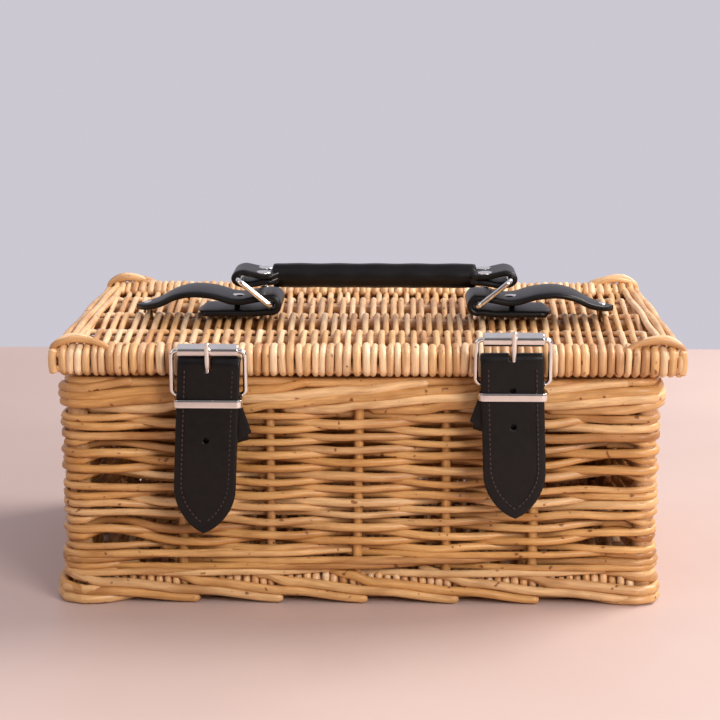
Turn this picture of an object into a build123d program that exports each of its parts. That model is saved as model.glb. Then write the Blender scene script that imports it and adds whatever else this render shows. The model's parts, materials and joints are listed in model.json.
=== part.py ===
from build123d import *
import os
from math import atan2, cos, hypot, sin

# Wicker picnic basket, in millimetres. It stands on z = 0 and its front faces -Y.
# The body and the lid were woven by hand, so the lid sits a little to the right of the body.
body_x = -1.5
lid_x = 1.5
centre_y = 3.0

# Body
wall_width = 302.0
wall_depth = 193.0
wall = 11.5
foot_height = 14.0
foot_overhang = 2.0
wale_top = 27.0
wale_overhang = 1.0
weave_top = 99.0
border_top = 118.0
border_overhang = 3.0
border_back_overhang = 2.5
base_bottom = 5.0
base_top = 16.0
joint_gap = 0.1

# Upright stakes and corner posts, hidden in the weave
stake_radius = 2.4
post_radius = 4.0
stake_bottom = 8.0
stake_top = 108.0
stake_pitch = 44.5
stake_shift = -1.5
base_stick_radius = 3.0

# Lid
lid_width = 317.0
lid_depth = 208.0
lid_bottom = 118.4
lid_top = 135.4
lid_edge = 9.0
panel_bottom = 120.6
panel_top = 133.1
lid_stick_radius = 2.6
lid_stick_gap = 10.0
lid_stick_pitch = 50.0
first_stick = 55.0
tie_length = 27.0
tie_radius = 3.0
tie_inset = 5.0

# Cane hinge loops round the lid's back rod
hinge_inset = 3.3
hinge_height = 121.3
hinge_rod_radius = 2.2
loop_x = 90.0
loop_radius = 8.7
loop_wire = 1.3
loop_drop = 4.0
loop_forward = 2.7
loop_slot = 5.0
loop_slot_room = 0.5
slot_overrun = 1.0
back_edge_chamfer = 2.4
end_stake_x = 129.0
front_rod_drop = 11.0

# Carrying handle
handle_x = lid_x + 2.5
handle_height = 153.6
grip_length = 110.0
grip_radius = 7.35
core_radius = 5.0
tongue_radius = 2.0
tongue_length = 20.0
handle_strap_width = 28.0
neck_thickness = 6.0
loop_centre = 72.0
loop_half_length = 7.5
loop_half_height = 9.0
loop_leather = 2.5
rivet_radius = 4.5
rivet_head = 1.2
shank_radius = 1.6
handle_rivet_x = 60.0
handle_rivet_spacing = 17.0
neck_overlap = 1.0
rivet_room = 0.2
rivet_depth_room = 0.1
grip_round = 1.5

# Wire rings between the handle and its tabs
ring_wire = 1.5
ring_inner_width = 34.0
ring_low_x = 55.5
ring_low_z = 139.9
ring_high_x = 73.0
ring_high_z = 154.0
ring_corner = 3.0

# Leather tabs that hold the rings to the lid
tab_width = 32.0
tab_leather = 3.4
tab_fold = 5.5
tab_bore = 1.6
tab_rivet_x = 75.0
tab_rivet_seat = 9.4
tab_seat_reach = 5.0
tab_block_reach = 7.0
tab_slope_start = 2.0
tab_slope_drop = 0.6
tab_arch = 11.5
tab_arch_start = 90.0
tab_arch_end = 106.0
tab_landing_x = 117.5
tab_tip_rise = 2.0
tab_bend = 6.0
tab_tip_rivet_x = 123.0
tab_tip_x = 130.0
tip_rivet_radius = 3.2
washer_height = 1.0
shank_cut = 20.0

# Closing straps, buckles and keepers
closure_xs = {"left": body_x - 75.0, "right": body_x + 75.0}
strap_tips = {"left": 41.8, "right": 50.2}
strap_width = 31.0
strap_leather = 2.5
strap_inner_gap = 6.6
strap_fold_top = 130.2
strap_tongue = 9.0
strap_point = 23.0
point_width_share = 0.32
point_height_share = 0.36
strap_room = 0.4
slot_reach_behind = 2.0
hole_radius = 1.5
hole_pitch = 18.0
hole_drop = 5.7
prong_slot = 4.0
prong_slot_length = 13.0
prong_slot_drop = 5.5
frame_width = 36.3
frame_wire = 1.25
frame_corner = 2.8
frame_height = 22.5
heel_gap = 3.2
heel_zs = {"left": 111.6, "right": 117.7}
roller_gap = 5.6
roller_length = 30.0
roller_radius = 3.4
roller_bore = 1.35
roller_round = 0.6
prong_wire = 1.3
prong_eye = 3.0
prong_eye_width = 4.0
prong_end_round = 0.9
prong_bend = 8.0
prong_line = [(-1.2, 2.0), (-2.2, 8.0), (-6.9, 16.2), (-7.9, 27.5)]
keeper_width = 31.8
keeper_metal = 0.8
keeper_height = 3.9
keeper_play = 0.6
keeper_corner = 1.5
keeper_inner_corner = 0.7
keeper_zs = {"left": 106.2, "right": 110.2}
chape_width = 26.0
chape_leather = 1.65
chape_fold = 3.0
chape_bend_z = 92.0
chape_foot_top = 86.0
chape_foot = 78.0
chape_lap = 0.4
chape_gap_height = 9.0
chape_slot_play = 1.6
chape_slot_height = 10.0
chape_slot_room = 0.5
chape_step = 1.0
chape_tail = 88.0
chape_rivet_z = 81.0
chape_rivet_radius = 3.5

# Places worked out from the sizes above
wall_front = centre_y - wall_depth / 2
wall_back = centre_y + wall_depth / 2
lid_front = centre_y - lid_depth / 2
lid_back = centre_y + lid_depth / 2
lid_left = lid_x - lid_width / 2
lid_right = lid_x + lid_width / 2
handle_y = lid_front + first_stick + lid_stick_pitch
hinge_y = lid_back - hinge_inset
heel_y = lid_front - heel_gap
roller_y = lid_front - roller_gap
strap_inner = lid_front - strap_inner_gap
strap_outer = strap_inner - strap_leather
inside_x = wall_width / 2 - wall / 2
sides = {"left": -1, "right": 1}

os.makedirs("parts", exist_ok=True)


def save(builder, node):
    """Name a finished piece and write it."""
    builder.part.label = node
    export_step(builder.part, f"parts/{node}.step")


def stake_points():
    """Where the upright stakes stand, along the middle of each wall."""
    front = wall_front + wall / 2
    back = wall_back - wall / 2
    long_xs = [body_x + stake_shift + stake_pitch * step for step in range(-2, 3)]
    long_xs += [body_x - end_stake_x, body_x + end_stake_x]
    short_ys = [centre_y + stake_pitch * step for step in (-1.5, -0.5, 0.5, 1.5)]
    points = [(x, y) for x in long_xs for y in (front, back)]
    points += [(body_x + side * inside_x, y) for y in short_ys for side in (-1, 1)]
    return points


def post_points():
    """Where the corner posts stand."""
    return [
        (body_x + side * inside_x, y)
        for side in (-1, 1)
        for y in (wall_front + wall / 2, wall_back - wall / 2)
    ]


def cut_uprights():
    """Bore the piece being built for the stakes and the corner posts."""
    for points, radius in ((stake_points(), stake_radius), (post_points(), post_radius)):
        with BuildSketch(Plane.XY.offset(stake_bottom)) as bores:
            with Locations(*points):
                Circle(radius)
        extrude(bores.sketch, amount=stake_top - stake_bottom, mode=Mode.SUBTRACT)


def ring_of_bars(bottom, top, overhang, thickness, back_overhang):
    """Four bars round the body, long ones at the front and the back."""
    front = wall_front - overhang
    back = wall_back + back_overhang
    with BuildSketch(Plane.XY.offset(bottom)) as bars:
        with Locations((body_x, front + thickness / 2), (body_x, back - thickness / 2)):
            Rectangle(wall_width + 2 * overhang, thickness)
        side_x = wall_width / 2 + overhang - thickness / 2
        with Locations((body_x - side_x, (front + back) / 2), (body_x + side_x, (front + back) / 2)):
            Rectangle(thickness, back - front - 2 * thickness - 2 * joint_gap)
    extrude(bars.sketch, amount=top - bottom)


# ------------------------------------------------------------------ body

def build_base():
    stick_points = [(centre_y + 32 * step, (base_bottom + base_top) / 2) for step in range(-2, 3)]
    inner_width = wall_width - 2 * wall
    with BuildPart() as base_weave:
        with BuildSketch(Plane.XY.offset(base_bottom)):
            with Locations((body_x, centre_y)):
                Rectangle(inner_width, wall_depth - 2 * wall)
        extrude(amount=base_top - base_bottom)
        with BuildSketch(Plane.YZ.offset(body_x)):
            with Locations(*stick_points):
                Circle(base_stick_radius)
        extrude(amount=inner_width / 2 - 4, both=True, mode=Mode.SUBTRACT)
    save(base_weave, "base_weave")

    with BuildPart() as base_sticks:
        with BuildSketch(Plane.YZ.offset(body_x)):
            with Locations(*stick_points):
                Circle(base_stick_radius)
        extrude(amount=inner_width / 2 - 4, both=True)
    save(base_sticks, "base_sticks")


def build_borders():
    with BuildPart() as foot_border:
        ring_of_bars(0, foot_height, foot_overhang, wall + foot_overhang, foot_overhang)
        cut_uprights()
    save(foot_border, "foot_border")

    with BuildPart() as lower_wale:
        ring_of_bars(foot_height, wale_top, wale_overhang, wall + wale_overhang, wale_overhang)
        cut_uprights()
    save(lower_wale, "lower_wale")

    with BuildPart() as top_border:
        ring_of_bars(weave_top, border_top, border_overhang, wall + border_overhang, border_back_overhang)
        cut_uprights()
        for x in (lid_x - loop_x, lid_x + loop_x):
            place = Location((x, hinge_y - loop_forward, hinge_height - loop_drop), (0, 90, 0))
            with Locations(place):
                Torus(loop_radius, loop_wire + joint_gap, mode=Mode.SUBTRACT)
    save(top_border, "top_border")


def build_walls():
    long_walls = {"front_weave": wall_front + wall / 2, "back_weave": wall_back - wall / 2}
    for node, y in long_walls.items():
        with BuildPart() as long_wall:
            with BuildSketch(Plane.XY.offset(wale_top)):
                with Locations((body_x, y)):
                    Rectangle(wall_width, wall)
            extrude(amount=weave_top - wale_top)
            cut_uprights()
            if node == "front_weave":
                with BuildSketch(Plane.XZ.offset(-y)):
                    with Locations(*[(x, chape_rivet_z) for x in closure_xs.values()]):
                        Circle(shank_radius)
                extrude(amount=wall, both=True, mode=Mode.SUBTRACT)
        save(long_wall, node)

    for name, side in sides.items():
        with BuildPart() as side_wall:
            with BuildSketch(Plane.XY.offset(wale_top)):
                with Locations((body_x + side * inside_x, centre_y)):
                    Rectangle(wall, wall_depth - 2 * wall)
            extrude(amount=weave_top - wale_top)
            cut_uprights()
        save(side_wall, f"{name}_weave")


def build_uprights():
    with BuildPart() as side_stakes:
        with BuildSketch(Plane.XY.offset(stake_bottom)):
            with Locations(*stake_points()):
                Circle(stake_radius)
        extrude(amount=stake_top - stake_bottom)
    save(side_stakes, "side_stakes")

    with BuildPart() as corner_posts:
        with BuildSketch(Plane.XY.offset(stake_bottom)):
            with Locations(*post_points()):
                Circle(post_radius)
        extrude(amount=stake_top - stake_bottom)
    save(corner_posts, "corner_posts")


def build_hinge_loops():
    with BuildPart() as hinge_loops:
        for x in (lid_x - loop_x, lid_x + loop_x):
            place = Location((x, hinge_y - loop_forward, hinge_height - loop_drop), (0, 90, 0))
            with Locations(place):
                Torus(loop_radius, loop_wire)
    save(hinge_loops, "hinge_loops")


def build_chape(name, x, heel_z):
    """A leather strip folded round the buckle's heel bar, its back layer riveted to the wall."""
    front = heel_y - chape_fold
    back = heel_y + chape_fold
    with BuildPart() as chape:
        with BuildSketch(Plane.YZ.offset(x)):
            with Locations((heel_y, heel_z)):
                Circle(chape_fold)
            with BuildLine():
                Polyline(
                    (front, heel_z), (front, chape_tail), (front + chape_leather, chape_tail),
                    (front + chape_leather, heel_z), close=True,
                )
            make_face()
            with BuildLine():
                Polyline(
                    (back, heel_z), (back, chape_bend_z),
                    (wall_front - chape_lap, chape_foot_top), (wall_front, chape_foot_top - chape_step),
                    (wall_front, chape_foot), (wall_front - chape_leather, chape_foot),
                    (wall_front - chape_leather, chape_foot_top - chape_step),
                    (back - chape_leather, chape_bend_z - chape_step),
                    (back - chape_leather, heel_z), close=True,
                )
            make_face()
            with Locations((heel_y, heel_z)):
                Circle(frame_wire + joint_gap, mode=Mode.SUBTRACT)
            with Locations((heel_y, heel_z - chape_gap_height / 2)):
                Rectangle(2 * (chape_fold - chape_leather), chape_gap_height, mode=Mode.SUBTRACT)
        extrude(amount=chape_width / 2, both=True)
        with BuildSketch(Plane.XY.offset(heel_z - prong_eye - chape_slot_room)):
            with Locations((x, heel_y)):
                Rectangle(prong_eye_width + chape_slot_play, 4 * chape_fold)
        extrude(amount=chape_slot_height, mode=Mode.SUBTRACT)
        with BuildSketch(Plane.XZ.offset(-wall_front)):
            with Locations((x, chape_rivet_z)):
                Circle(shank_radius)
        extrude(amount=2 * chape_leather, mode=Mode.SUBTRACT)
    save(chape, f"buckle_chape_{name}")


def build_chape_rivets():
    """Rivets that hold the chapes to the front wall, and their washers inside it."""
    points = [(x, chape_rivet_z) for x in closure_xs.values()]
    with BuildPart() as rivets:
        with BuildSketch(Plane.XZ.offset(-(wall_front - chape_leather))):
            with Locations(*points):
                Circle(chape_rivet_radius)
        extrude(amount=rivet_head)
        with BuildSketch(Plane.XZ.offset(-(wall_front - chape_leather))):
            with Locations(*points):
                Circle(shank_radius)
        extrude(amount=-(chape_leather + wall + washer_height))
    save(rivets, "chape_rivets")

    with BuildPart() as washers:
        with BuildSketch(Plane.XZ.offset(-(wall_front + wall))):
            with Locations(*points):
                Circle(chape_rivet_radius)
                Circle(shank_radius, mode=Mode.SUBTRACT)
        extrude(amount=-washer_height)
    save(washers, "chape_washers")


# ------------------------------------------------------------------ lid

def lid_stick_points():
    """The lid's three pairs of inner sticks, in the YZ plane."""
    middle = (panel_bottom + panel_top) / 2
    return [
        (lid_front + first_stick + lid_stick_pitch * pair + side * lid_stick_gap / 2, middle)
        for pair in range(3)
        for side in (-1, 1)
    ]


def cut_lid_sticks():
    with BuildSketch(Plane.YZ.offset(lid_x)) as bores:
        with Locations(*lid_stick_points()):
            Circle(lid_stick_radius)
    extrude(bores.sketch, amount=lid_width, both=True, mode=Mode.SUBTRACT)


def cut_hinge_slots():
    """Room for the hinge loops, at any opening of the lid."""
    depth = loop_radius + loop_wire + hypot(loop_forward, loop_drop) + loop_slot_room
    with BuildSketch(Plane.XY.offset(lid_bottom - slot_overrun)) as slots:
        with Locations((lid_x - loop_x, hinge_y), (lid_x + loop_x, hinge_y)):
            Rectangle(loop_slot, 2 * depth)
    extrude(slots.sketch, amount=lid_top - lid_bottom + 2 * slot_overrun, mode=Mode.SUBTRACT)


def tab_rivet_points():
    return [(handle_x + side * x, handle_y) for side in (-1, 1) for x in (tab_rivet_x, tab_tip_rivet_x)]


def build_lid_weave():
    with BuildPart() as lid_weave:
        with BuildSketch(Plane.XY.offset(panel_bottom)):
            with Locations((lid_x, centre_y)):
                Rectangle(lid_width - 2 * lid_edge, lid_depth - 2 * lid_edge)
        extrude(amount=panel_top - panel_bottom)
        cut_lid_sticks()
        cut_hinge_slots()
        with BuildSketch(Plane.XY.offset(panel_bottom)):
            with Locations(*tab_rivet_points()):
                Circle(shank_radius)
        extrude(amount=panel_top - panel_bottom, mode=Mode.SUBTRACT)
    save(lid_weave, "lid_weave")


def build_lid_sticks():
    with BuildPart() as lid_sticks:
        with BuildSketch(Plane.YZ.offset(lid_x)):
            with Locations(*lid_stick_points()):
                Circle(lid_stick_radius)
        extrude(amount=lid_width / 2, both=True)
    save(lid_sticks, "lid_sticks")


def build_lid_edges():
    rod_place = (lid_front + lid_edge / 2, lid_top - front_rod_drop)
    with BuildPart() as front_edge:
        with BuildSketch(Plane.XY.offset(lid_bottom)):
            with Locations((lid_x, lid_front + lid_edge / 2)):
                Rectangle(lid_width, lid_edge)
        extrude(amount=lid_top - lid_bottom)
        with BuildSketch(Plane.YZ.offset(lid_x)):
            with Locations(rod_place):
                Circle(lid_stick_radius)
        extrude(amount=lid_width, both=True, mode=Mode.SUBTRACT)
        with BuildSketch(Plane.XZ.offset(-lid_front)):
            with Locations(*[(x, strap_fold_top - strap_leather / 2) for x in closure_xs.values()]):
                Rectangle(strap_width + strap_room, strap_leather + strap_room)
        extrude(amount=-strap_tongue, mode=Mode.SUBTRACT)
    save(front_edge, "lid_front_edge")

    with BuildPart() as front_rod:
        with BuildSketch(Plane.YZ.offset(lid_x)):
            with Locations(rod_place):
                Circle(lid_stick_radius)
        extrude(amount=lid_width / 2, both=True)
    save(front_rod, "lid_front_rod")

    with BuildPart() as back_edge:
        with BuildSketch(Plane.XY.offset(lid_bottom)):
            with Locations((lid_x, lid_back - lid_edge / 2)):
                Rectangle(lid_width, lid_edge)
        extrude(amount=lid_top - lid_bottom)
        low_back = back_edge.edges().filter_by(Axis.X).group_by(Axis.Z)[0].sort_by(Axis.Y)[-1]
        chamfer(low_back, back_edge_chamfer)
        with BuildSketch(Plane.YZ.offset(lid_x)):
            with Locations((hinge_y, hinge_height)):
                Circle(hinge_rod_radius)
        extrude(amount=lid_width, both=True, mode=Mode.SUBTRACT)
        cut_hinge_slots()
    save(back_edge, "lid_back_edge")

    with BuildPart() as back_rod:
        with BuildSketch(Plane.YZ.offset(lid_x)):
            with Locations((hinge_y, hinge_height)):
                Circle(hinge_rod_radius)
        extrude(amount=lid_width / 2, both=True)
    save(back_rod, "lid_back_rod")

    for name, side in sides.items():
        with BuildPart() as side_edge:
            with BuildSketch(Plane.XY.offset(panel_bottom)):
                with Locations((lid_x + side * (lid_width - lid_edge) / 2, centre_y)):
                    Rectangle(lid_edge, lid_depth - 2 * lid_edge)
            extrude(amount=panel_top - panel_bottom)
            cut_lid_sticks()
        save(side_edge, f"lid_{name}_edge")


def build_corner_ties():
    """Half-round rods lying on the lid's four corners."""
    with BuildPart() as ties:
        for x in (lid_left + tie_length / 2 + 1, lid_right - tie_length / 2 - 1):
            with BuildSketch(Plane.YZ.offset(x)):
                with Locations((lid_front + tie_inset, lid_top), (lid_back - tie_inset, lid_top)):
                    Circle(tie_radius)
                with Locations((centre_y, lid_top - tie_radius)):
                    Rectangle(lid_depth, 2 * tie_radius, mode=Mode.SUBTRACT)
            extrude(amount=tie_length / 2, both=True)
    save(ties, "lid_corner_ties")


def build_tab(name, side):
    """A leather tab: folded round the ring's low bar, riveted, then arched out to a riveted tip."""
    tab_mid = panel_top + tab_leather / 2
    seat = panel_top + tab_rivet_seat
    with BuildPart() as tab:
        with BuildSketch(Plane.XZ.offset(-handle_y)):
            with BuildLine():
                FilletPolyline(
                    (handle_x + side * (tab_rivet_x + tab_seat_reach), seat - tab_leather / 2),
                    (handle_x + side * tab_arch_start, tab_mid + tab_arch),
                    (handle_x + side * tab_arch_end, tab_mid + tab_arch),
                    (handle_x + side * tab_landing_x, tab_mid + tab_tip_rise),
                    (handle_x + side * tab_tip_x, tab_mid + tab_tip_rise), radius=tab_bend,
                )
            trace(line_width=tab_leather)
            low_bar = (handle_x + side * ring_low_x, ring_low_z)
            with Locations(low_bar):
                Circle(tab_fold)
            with BuildLine():
                Polyline(
                    (low_bar[0], ring_low_z - tab_fold),
                    (handle_x + side * (tab_rivet_x + tab_block_reach), ring_low_z - tab_fold),
                    (handle_x + side * (tab_rivet_x + tab_block_reach), seat),
                    (handle_x + side * (tab_rivet_x - tab_seat_reach), seat),
                    (low_bar[0] + side * tab_slope_start, ring_low_z + tab_fold - tab_slope_drop),
                    close=True,
                )
            make_face()
            with Locations(low_bar):
                Circle(tab_bore, mode=Mode.SUBTRACT)
        extrude(amount=tab_width / 2, both=True)
        with BuildSketch(Plane.XY.offset(panel_top)):
            with Locations(*tab_rivet_points()):
                Circle(shank_radius)
        extrude(amount=shank_cut, mode=Mode.SUBTRACT)
    save(tab, f"handle_tab_{name}")


def build_tab_rivets():
    """A large rivet by each ring and a small one at each tab's tip, with washers under the lid."""
    tip_seat = panel_top + tab_leather + tab_tip_rise
    groups = {"tab_rivets": (tab_rivet_x, rivet_radius, panel_top + tab_rivet_seat),
              "tab_tip_rivets": (tab_tip_rivet_x, tip_rivet_radius, tip_seat)}
    for node, (x, radius, seat) in groups.items():
        points = [(handle_x - x, handle_y), (handle_x + x, handle_y)]
        with BuildPart() as rivets:
            with BuildSketch(Plane.XY.offset(seat)):
                with Locations(*points):
                    Circle(radius)
            extrude(amount=rivet_head)
            with BuildSketch(Plane.XY.offset(panel_bottom - washer_height)):
                with Locations(*points):
                    Circle(shank_radius)
            extrude(amount=seat - panel_bottom + washer_height)
        save(rivets, node)

    with BuildPart() as washers:
        with BuildSketch(Plane.XY.offset(panel_bottom)):
            with Locations(*tab_rivet_points()):
                Circle(rivet_radius)
                Circle(shank_radius, mode=Mode.SUBTRACT)
        extrude(amount=-washer_height)
    save(washers, "tab_washers")


# ------------------------------------------------------------------ handle

def build_grip():
    with BuildPart() as grip_cover:
        with BuildSketch(Plane.YZ.offset(handle_x)):
            with Locations((handle_y, handle_height)):
                Circle(grip_radius)
                Circle(core_radius, mode=Mode.SUBTRACT)
        extrude(amount=grip_length / 2, both=True)
        fillet(grip_cover.edges().filter_by(GeomType.CIRCLE).group_by(SortBy.RADIUS)[-1], grip_round)
    save(grip_cover, "grip_cover")

    with BuildPart() as grip_core:
        with BuildSketch(Plane.YZ.offset(handle_x)):
            with Locations((handle_y, handle_height)):
                Circle(core_radius)
        extrude(amount=grip_length / 2, both=True)
        for side in sides.values():
            with BuildSketch(Plane.YZ.offset(handle_x + side * grip_length / 2)):
                with Locations((handle_y, handle_height)):
                    Circle(tongue_radius)
            extrude(amount=-side * tongue_length, mode=Mode.SUBTRACT)
    save(grip_core, "grip_core")


def handle_rivet_points(side):
    x = handle_x + side * handle_rivet_x
    return [(x, handle_y - handle_rivet_spacing / 2), (x, handle_y + handle_rivet_spacing / 2)]


def build_handle_loop(name, side):
    """The leather end of the handle: a tongue in the grip, a doubled neck, and a loop for the ring."""
    neck_start = grip_length / 2
    neck_end = loop_centre - loop_half_length + neck_overlap
    with BuildPart() as loop:
        with BuildSketch(Plane.XZ.offset(-handle_y)):
            with Locations((handle_x + side * (neck_start + neck_end) / 2, handle_height)):
                Rectangle(neck_end - neck_start, neck_thickness)
            with Locations((handle_x + side * loop_centre, handle_height)):
                Ellipse(loop_half_length, loop_half_height)
                Ellipse(
                    loop_half_length - loop_leather, loop_half_height - loop_leather, mode=Mode.SUBTRACT
                )
        extrude(amount=handle_strap_width / 2, both=True)
        with BuildSketch(Plane.YZ.offset(handle_x + side * neck_start)):
            with Locations((handle_y, handle_height)):
                Circle(tongue_radius)
        extrude(amount=-side * tongue_length)
        with BuildSketch(Plane.XY.offset(handle_height)):
            with Locations(*handle_rivet_points(side)):
                Circle(shank_radius)
        extrude(amount=neck_thickness, both=True, mode=Mode.SUBTRACT)
        with BuildSketch(Plane.XY.offset(handle_height + neck_thickness / 2)):
            with Locations(*handle_rivet_points(side)):
                Circle(rivet_radius + rivet_room)
        extrude(amount=rivet_head + rivet_depth_room, mode=Mode.SUBTRACT)
        with BuildSketch(Plane.XY.offset(handle_height - neck_thickness / 2)):
            with Locations(*handle_rivet_points(side)):
                Circle(rivet_radius + rivet_room)
        extrude(amount=-rivet_head - rivet_depth_room, mode=Mode.SUBTRACT)
    save(loop, f"handle_loop_{name}")


def build_handle_rivets():
    points = handle_rivet_points(-1) + handle_rivet_points(1)
    with BuildPart() as rivets:
        with BuildSketch(Plane.XY.offset(handle_height)):
            with Locations(*points):
                Circle(shank_radius)
        extrude(amount=neck_thickness / 2, both=True)
        for direction in (-1, 1):
            with BuildSketch(Plane.XY.offset(handle_height + direction * neck_thickness / 2)):
                with Locations(*points):
                    Circle(rivet_radius)
            extrude(amount=direction * rivet_head)
    save(rivets, "handle_rivets")


def wire_loop(plane, width, length, corner, wire):
    """A closed rectangular loop of round wire; the plane's origin is the middle of its low bar."""
    half = width / 2
    with BuildLine(plane) as wire_path:
        path = FilletPolyline(
            (half, 0), (half, length), (-half, length), (-half, 0), radius=corner, close=True
        )
    with BuildSketch(Plane(origin=path @ 0, z_dir=path % 0)) as section:
        Circle(wire)
    sweep(section.sketch, path=wire_path.wire())


def build_ring(name, side):
    angle = atan2(ring_high_z - ring_low_z, ring_high_x - ring_low_x)
    length = hypot(ring_high_z - ring_low_z, ring_high_x - ring_low_x)
    plane = Plane(
        origin=(handle_x + side * ring_low_x, handle_y, ring_low_z),
        x_dir=(0, 1, 0),
        z_dir=(sin(angle), 0, -side * cos(angle)),
    )
    with BuildPart() as ring:
        wire_loop(plane, ring_inner_width + 2 * ring_wire, length, ring_corner, ring_wire)
    save(ring, f"handle_ring_{name}")


# ------------------------------------------------------------------ closures

def build_strap(name, x):
    """A closing strap: a tongue in the lid's front edge, a fold, and a pointed hanging end."""
    fold_bottom = strap_fold_top - strap_leather
    tip = strap_tips[name]
    with BuildPart() as strap:
        with BuildSketch(Plane.XZ.offset(-strap_inner)):
            with BuildLine():
                shoulder = tip + strap_point
                left = x - strap_width / 2
                right = x + strap_width / 2
                Line((left, strap_fold_top), (left, shoulder))
                bow = strap_width * point_width_share
                bow_height = tip + strap_point * point_height_share
                ThreePointArc((left, shoulder), (x - bow, bow_height), (x, tip))
                ThreePointArc((x, tip), (x + bow, bow_height), (right, shoulder))
                Line((right, shoulder), (right, strap_fold_top))
                Line((right, strap_fold_top), (left, strap_fold_top))
            make_face()
        extrude(amount=strap_leather)
        with BuildSketch(Plane.XY.offset(fold_bottom)):
            with Locations((x, (strap_inner + lid_front + strap_tongue) / 2)):
                Rectangle(strap_width, lid_front + strap_tongue - strap_inner)
        extrude(amount=strap_leather)
        with BuildSketch(Plane.XZ.offset(-strap_inner)):
            hole_top = strap_fold_top - hole_drop
            with Locations((x, hole_top - hole_pitch), (x, hole_top - 2 * hole_pitch)):
                Circle(hole_radius)
        extrude(amount=strap_leather, mode=Mode.SUBTRACT)
        with BuildSketch(Plane.XZ.offset(-lid_front + slot_reach_behind)):
            with Locations((x, strap_fold_top - prong_slot_drop)):
                Rectangle(prong_slot, prong_slot_length)
        extrude(amount=strap_leather + strap_inner_gap, mode=Mode.SUBTRACT)
    save(strap, f"strap_{name}")


def build_buckle(name, x, heel_z):
    roller_z = heel_z + frame_height
    lean = atan2(heel_y - roller_y, frame_height)
    length = hypot(heel_y - roller_y, frame_height)
    plane = Plane(origin=(x, heel_y, heel_z), x_dir=(1, 0, 0), z_dir=(0, -cos(lean), -sin(lean)))
    with BuildPart() as frame:
        wire_loop(plane, frame_width, length, frame_corner, frame_wire)
    save(frame, f"buckle_frame_{name}")

    with BuildPart() as roller:
        with BuildSketch(Plane.YZ.offset(x)):
            with Locations((roller_y, roller_z)):
                Circle(roller_radius)
                Circle(roller_bore, mode=Mode.SUBTRACT)
        extrude(amount=roller_length / 2, both=True)
        fillet(roller.edges().filter_by(GeomType.CIRCLE).group_by(SortBy.RADIUS)[-1], roller_round)
    save(roller, f"buckle_roller_{name}")


def build_prong(name, x, heel_z):
    """The buckle's prong: an eye on the heel bar and a bent wire out through the strap."""
    with BuildPart() as prong:
        with BuildLine(Plane.YZ.offset(x)) as wire:
            corners = [(heel_y + forward, heel_z + up) for forward, up in prong_line]
            bent = FilletPolyline(*corners, radius=prong_bend)
        with BuildSketch(Plane(origin=bent @ 0, z_dir=bent % 0)):
            Circle(prong_wire)
        sweep(path=wire.wire())
        fillet(prong.edges().group_by(Axis.Z)[-1], prong_end_round)
        with BuildSketch(Plane.YZ.offset(x)):
            with Locations((heel_y, heel_z)):
                Circle(prong_eye)
        extrude(amount=prong_eye_width / 2, both=True)
        with BuildSketch(Plane.YZ.offset(x)):
            with Locations((heel_y, heel_z)):
                Circle(frame_wire + joint_gap)
        extrude(amount=prong_eye_width, both=True, mode=Mode.SUBTRACT)
    save(prong, f"buckle_prong_{name}")


def build_keeper(name, x, keeper_z):
    """A metal band round the strap and the chape."""
    inner_front = strap_outer - keeper_play
    inner_back = heel_y + chape_fold + keeper_play
    with BuildPart() as keeper:
        with BuildSketch(Plane.XY.offset(keeper_z)):
            with Locations((x, (inner_front + inner_back) / 2)):
                depth = inner_back - inner_front
                RectangleRounded(keeper_width + 2 * keeper_metal, depth + 2 * keeper_metal, keeper_corner)
                RectangleRounded(keeper_width, depth, keeper_inner_corner, mode=Mode.SUBTRACT)
        extrude(amount=keeper_height)
    save(keeper, f"keeper_{name}")


build_base()
build_borders()
build_walls()
build_uprights()
build_hinge_loops()
build_chape_rivets()
build_lid_weave()
build_lid_sticks()
build_lid_edges()
build_corner_ties()
build_tab_rivets()
build_grip()
build_handle_rivets()
for side_name, side_sign in sides.items():
    build_tab(side_name, side_sign)
    build_handle_loop(side_name, side_sign)
    build_ring(side_name, side_sign)
for side_name, closure_x in closure_xs.items():
    build_chape(side_name, closure_x, heel_zs[side_name])
    build_strap(side_name, closure_x)
    build_buckle(side_name, closure_x, heel_zs[side_name])
    build_prong(side_name, closure_x, heel_zs[side_name])
    build_keeper(side_name, closure_x, keeper_zs[side_name])
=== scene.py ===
import json
import math
import random

import bpy
import numpy as np
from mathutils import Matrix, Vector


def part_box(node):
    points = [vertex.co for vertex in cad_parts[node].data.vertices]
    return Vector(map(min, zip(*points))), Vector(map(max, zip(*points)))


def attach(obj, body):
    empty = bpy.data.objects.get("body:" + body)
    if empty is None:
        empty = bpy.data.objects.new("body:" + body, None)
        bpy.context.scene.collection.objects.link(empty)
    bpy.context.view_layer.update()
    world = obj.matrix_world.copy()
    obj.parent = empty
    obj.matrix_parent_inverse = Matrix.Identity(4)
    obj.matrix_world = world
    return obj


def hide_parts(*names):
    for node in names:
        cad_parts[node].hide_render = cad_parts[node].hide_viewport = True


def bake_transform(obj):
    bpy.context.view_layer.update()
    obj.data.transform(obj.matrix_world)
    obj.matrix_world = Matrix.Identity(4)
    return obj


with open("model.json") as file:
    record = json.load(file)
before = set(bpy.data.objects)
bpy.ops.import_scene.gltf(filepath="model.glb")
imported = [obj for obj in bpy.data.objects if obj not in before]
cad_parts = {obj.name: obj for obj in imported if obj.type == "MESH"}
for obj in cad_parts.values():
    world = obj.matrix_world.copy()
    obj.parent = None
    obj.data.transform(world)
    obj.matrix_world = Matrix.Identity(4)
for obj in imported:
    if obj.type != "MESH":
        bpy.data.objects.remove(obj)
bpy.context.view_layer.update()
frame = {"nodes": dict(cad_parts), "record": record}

mm = 0.001
pick = random.Random(41)
even_tint = 0.5              # the tint of what is all one colour


# -------------------- places read from the frame

def low(node):
    return np.array(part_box(node)[0])


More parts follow.
